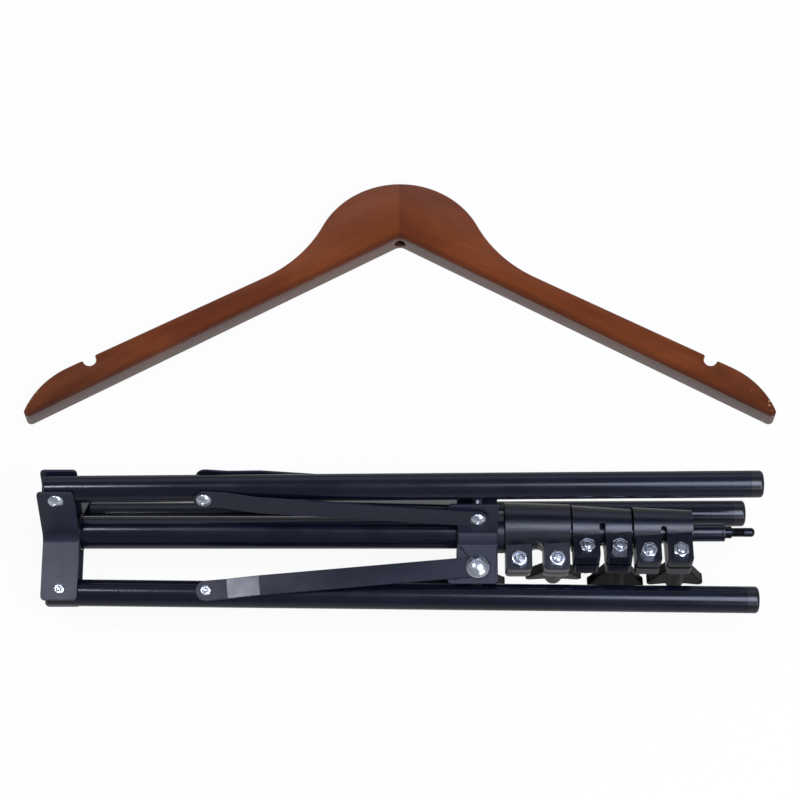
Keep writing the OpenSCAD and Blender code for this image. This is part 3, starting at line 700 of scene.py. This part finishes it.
DOME_R = 6.9
DOME_H = 3.4
CLAMP_R = 3.0
DOME_ROWS = 12
shape = bmesh.new()
points = points_of("collar_clamp_bolt")
axis = towards_wide_end(points, hinge_axes[1])
start, length = seat_along(points, axis)
length /= MM
ball_r = (DOME_R ** 2 + DOME_H ** 2) / (2 * DOME_H)
profile = [(0, 0), (0, CLAMP_R - 0.4), (0.4, CLAMP_R), (length - DOME_H, CLAMP_R), (length - DOME_H, DOME_R - 0.15)]
for k in range(DOME_ROWS + 1):
    z = DOME_H * (0.06 + 0.94 * k / DOME_ROWS)
    profile.append((length - DOME_H + z, math.sqrt(max(0.0, ball_r ** 2 - (z + ball_r - DOME_H) ** 2))))
profile[-1] = (length, 0)
turn_profile(shape, profile, standing_at(start, axis))
make_piece(shape, "collar_clamp_bolt", dome_zinc)
print("clamp bolt", round(length, 2), "mm long")

# %% [markdown]
# The stud at the top of the column is a turned screw: a root inside the plug, a shoulder, a short thread, then a plain
# end with a round nose, so that the hanger's socket finds its way on.

# %% Stud
STUD_R = 2.65
SHOULDER_R = 3.4
ROOT, SHOULDER_L, THREAD_L = 7.5, 4.0, 7.0
NOSE_R = 2.0
STUD_THREAD_DEPTH = 0.3
thread_start = ROOT + SHOULDER_L
thread_end = thread_start + THREAD_L
stud_axis = Vector((1.0, 0.0, 0.0))
shape = bmesh.new()
start, length = seat_along(points_of("top_stud"), stud_axis)
length /= MM
profile = [(0, 0), (0, STUD_R), (ROOT, STUD_R), (ROOT, SHOULDER_R - 0.2), (ROOT + 0.2, SHOULDER_R),
           (thread_start - 0.3, SHOULDER_R), (thread_start, SHOULDER_R - 0.3), (thread_start, STUD_R)]
for k in range(1, int(THREAD_L / THREAD_ROW) + 1):
    profile.append((thread_start + k * THREAD_ROW, STUD_R))
profile.append((thread_end + 0.4, STUD_R - 0.1))
for k in range(9):
    turn = math.radians(90 * k / 8)
    profile.append((length - NOSE_R + NOSE_R * math.sin(turn), STUD_R - 0.1 - NOSE_R + NOSE_R * math.cos(turn)))
profile.append((length, 0))
cut = helix(thread_start, STUD_THREAD_DEPTH)


def stud_form(z, r, angle):
    return cut(z, r, angle) if thread_start < z <= thread_end + 0.01 else (z, r)


turn_profile(shape, profile, standing_at(start, stud_axis), stud_form)
make_piece(shape, "top_stud", black_chrome)
print("stud", round(length, 2), "mm long")

# %% [markdown]
# A wing knob is moulded in one with its wings, and every corner is round. A remesh of the CAD solid followed by a
# few rounds of smoothing gives it that soft form.

# %% Wing knobs
SKIN_MM = 0.4
SMOOTH_ROUNDS = 9

for node in ("lock_1_knob", "lock_2_knob", "lock_3_knob", "collar_knob"):
    dress(node, knob_nylon)
    knob = nodes[node]
    soft = knob.modifiers.new("even skin", "REMESH")
    soft.mode = "VOXEL"
    soft.voxel_size = SKIN_MM * MM
    soft.use_smooth_shade = True
    round_off = knob.modifiers.new("moulded rounding", "SMOOTH")
    round_off.factor = 0.5
    round_off.iterations = SMOOTH_ROUNDS
print("wing knobs rounded")

# %% [markdown]
# Each arm of the hanger is cut from one board with a router that rounds its long edges. The two arms meet at the
# middle in a glued joint that shows as a hairline. A hole for the socket is drilled up into the joint.

# %% Hanger arms
HANGER_W, BOARD = 448.4, 13.0
CROWN_R, CROWN_H, ARM_H = 53.0, 38.0, 15.8
SHOULDER = math.radians(27.8)
NECK_R, APEX_R, TIP_R, CORNER_R = 80.0, 6.0, 50.0, 3.0
NOTCH_INSET, NOTCH_R, NOTCH_DEPTH, LIP_R = 37.8, 3.9, 5.4, 1.1
BORE_R, BORE_LENGTH, DRILL_RUN_IN = 3.5, 24.0, 12.0
ROUTER_R, ROUTER_STEPS = 0.9, 5
LEAST_STEP = 0.02
QUARTER = math.pi / 2


def arc(middle, r, first, last, steps):
    """Points on an arc, in mm. first and last are in radians."""
    return [Vector((middle[0] + r * math.cos(a), middle[1] + r * math.sin(a)))
            for a in (first + (last - first) * k / steps for k in range(steps + 1))]


def falling(slope):
    """The direction that runs down to the right at a slope, and the one square to it that points up."""
    return Vector((math.cos(slope), -math.sin(slope))), Vector((math.sin(slope), math.cos(slope)))


def arm_outline():
    """The outline of the right arm in mm, from the point of the V along the lower edge, round the tip and back."""
    half_w = HANGER_W / 2
    along, across = falling(SHOULDER)
    lower_along, lower_across = falling(LOWER)

    # the neck's arc touches the crown's circle and the straight shoulder
    crown_z = CROWN_H - CROWN_R
    gap = (ARM_H - crown_z) * across[1]
    neck_at = (Vector((0, crown_z)) + (gap + NECK_R) * across
               + math.sqrt((CROWN_R + NECK_R) ** 2 - (gap + NECK_R) ** 2) * along)
    neck_turn = math.atan2(neck_at[1] - crown_z, neck_at[0])

    # the tip's arc runs from the shoulder to the end of the lower edge
    corner = Vector((half_w, -half_w * math.tan(LOWER)))
    drop = Vector((0, ARM_H)).dot(across) - corner.dot(across)
    tip_at = corner - math.sqrt(TIP_R ** 2 - (TIP_R - drop) ** 2) * along - (TIP_R - drop) * across

    # the corner's arc touches the lower edge and lies inside the tip's arc
    off = CORNER_R * lower_across - tip_at
    reach = off.dot(lower_along)
    corner_at = CORNER_R * lower_across + lower_along * (
        -reach + math.sqrt(reach ** 2 - off.dot(off) + (TIP_R - CORNER_R) ** 2))
    tip_turn = math.atan2(corner_at[1] - tip_at[1], corner_at[0] - tip_at[0])

    notch = half_w - NOTCH_INSET
    notch_at = Vector((notch, ARM_H - notch * math.tan(SHOULDER)))
    bottom = notch_at + across * (NOTCH_R - NOTCH_DEPTH)
    outer_lip = notch_at + along * (NOTCH_R + LIP_R) - across * LIP_R
    inner_lip = notch_at - along * (NOTCH_R + LIP_R) - across * LIP_R

    points = arc((0, -APEX_R / math.cos(LOWER)), APEX_R, QUARTER, QUARTER - LOWER, 6)
    points += arc(corner_at, CORNER_R, -QUARTER - LOWER, tip_turn, 10)
    points += arc(tip_at, TIP_R, tip_turn, QUARTER - SHOULDER, 20)[1:]
    points += arc(outer_lip, LIP_R, QUARTER - SHOULDER, math.pi - SHOULDER, 5)
    points += arc(bottom, NOTCH_R, -SHOULDER, -math.pi - SHOULDER, 18)
    points += arc(inner_lip, LIP_R, -SHOULDER, QUARTER - SHOULDER, 5)
    points += arc(neck_at, NECK_R, 3 * QUARTER - SHOULDER, math.pi + neck_turn, 20)
    points += arc((0, crown_z), CROWN_R, neck_turn, QUARTER, 26)
    return [p for k, p in enumerate(points) if (p - points[k - 1]).length > LEAST_STEP]


apex_y = max(corner[1] for corner in nodes["hanger_right_arm"].bound_box) - CROWN_H * MM
print("point of the V at y =", round(apex_y / MM, 2), "mm")


def blank_object(shape, name):
    """A plain object of the shape, in the scene for as long as it is worked on."""
    mesh = bpy.data.meshes.new(name)
    shape.to_mesh(mesh)
    shape.free()
    blank = bpy.data.objects.new(name, mesh)
    bpy.context.scene.collection.objects.link(blank)
    return blank


def hanger_arm(side, node, wood):
    shape = bmesh.new()
    ring = [Vector((side * p[0] * MM, apex_y + p[1] * MM, 0.0)) for p in arm_outline()]
    low_ring = [shape.verts.new(p) for p in ring]
    high_ring = [shape.verts.new(p + Vector((0, 0, BOARD * MM))) for p in ring]
    shape.faces.new(low_ring)
    shape.faces.new(high_ring)
    for k in range(len(ring)):
        following = (k + 1) % len(ring)
        shape.faces.new((low_ring[k], low_ring[following], high_ring[following], high_ring[k]))
    bmesh.ops.recalc_face_normals(shape, faces=shape.faces)
    long_edges = [edge for edge in shape.edges
                  if abs(edge.verts[0].co.z - edge.verts[1].co.z) < 1e-7
                  and max(abs(v.co.x) for v in edge.verts) > 1e-6]
    bmesh.ops.bevel(shape, geom=long_edges, offset=ROUTER_R * MM, offset_type="OFFSET", segments=ROUTER_STEPS,
                    profile=0.5, affect="EDGES", clamp_overlap=False)
    board = blank_object(shape, "arm blank")

    shape = bmesh.new()
    turn_profile(shape, [(-DRILL_RUN_IN, 0), (-DRILL_RUN_IN, BORE_R), (BORE_LENGTH, BORE_R), (BORE_LENGTH, 0)],
                 standing_at(Vector((0, apex_y, BOARD / 2 * MM)), Vector((0.0, 1.0, 0.0))))
    bmesh.ops.recalc_face_normals(shape, faces=shape.faces)
    drill = blank_object(shape, "drill")
    bore = board.modifiers.new("socket hole", "BOOLEAN")
    bore.operation = "DIFFERENCE"
    bore.solver = "EXACT"
    bore.object = drill
    depsgraph = bpy.context.evaluated_depsgraph_get()
    drilled = bpy.data.meshes.new_from_object(board.evaluated_get(depsgraph))
    bpy.data.objects.remove(board)
    bpy.data.objects.remove(drill)

    shape = bmesh.new()
    shape.from_mesh(drilled)
    make_piece(shape, node, wood, sharp_degrees=40)


hanger_arm(-1, "hanger_left_arm", left_wood)
hanger_arm(1, "hanger_right_arm", right_wood)
